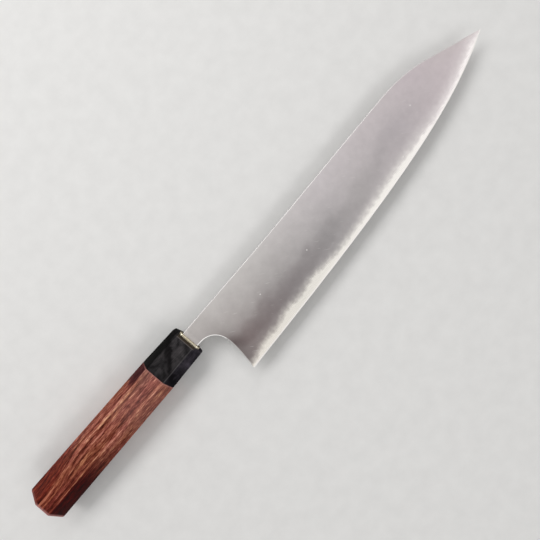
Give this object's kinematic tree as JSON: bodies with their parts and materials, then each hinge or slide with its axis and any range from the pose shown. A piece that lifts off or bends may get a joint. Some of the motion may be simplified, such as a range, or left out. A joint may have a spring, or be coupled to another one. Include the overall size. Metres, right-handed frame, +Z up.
{
  "type": "gyuto knife",
  "caption": "Laminated gyuto kitchen knife with a clipped point, a black ferrule with a thin gold collar, and an eight-sided tapered wooden handle, lying on its side.",
  "frame": {"origin": "centre of the knife's overall box on the surface that it lies on", "axes": "+X from the butt to the tip, +Y towards the spine, +Z up through the flat of the blade; the knife lies level on its side and its edge looks to -Y"},
  "size_m": [0.4252, 0.0588, 0.022],
  "materials": {
    "core_steel": "bright polished band along the edge",
    "cladding_steel": "satin, faintly cloudy where it meets the core",
    "collar_brass": "polished",
    "ferrule_horn": "satin polished black horn with faint marbling",
    "handle_rosewood": "oiled reddish brown wood with straight dark grain",
    "dowel_wood": "bare pale wood",
    "resin": "clear amber, set hard"
  },
  "bodies": {
    "root": {"core_steel": "core_steel", "cladding_right": "cladding_steel", "cladding_left": "cladding_steel", "tang_collar": "collar_brass", "ferrule": "ferrule_horn", "handle_body": "handle_rosewood", "tenon_dowel": "dowel_wood", "tang_resin": "resin"}
  },
  "joints": []
}
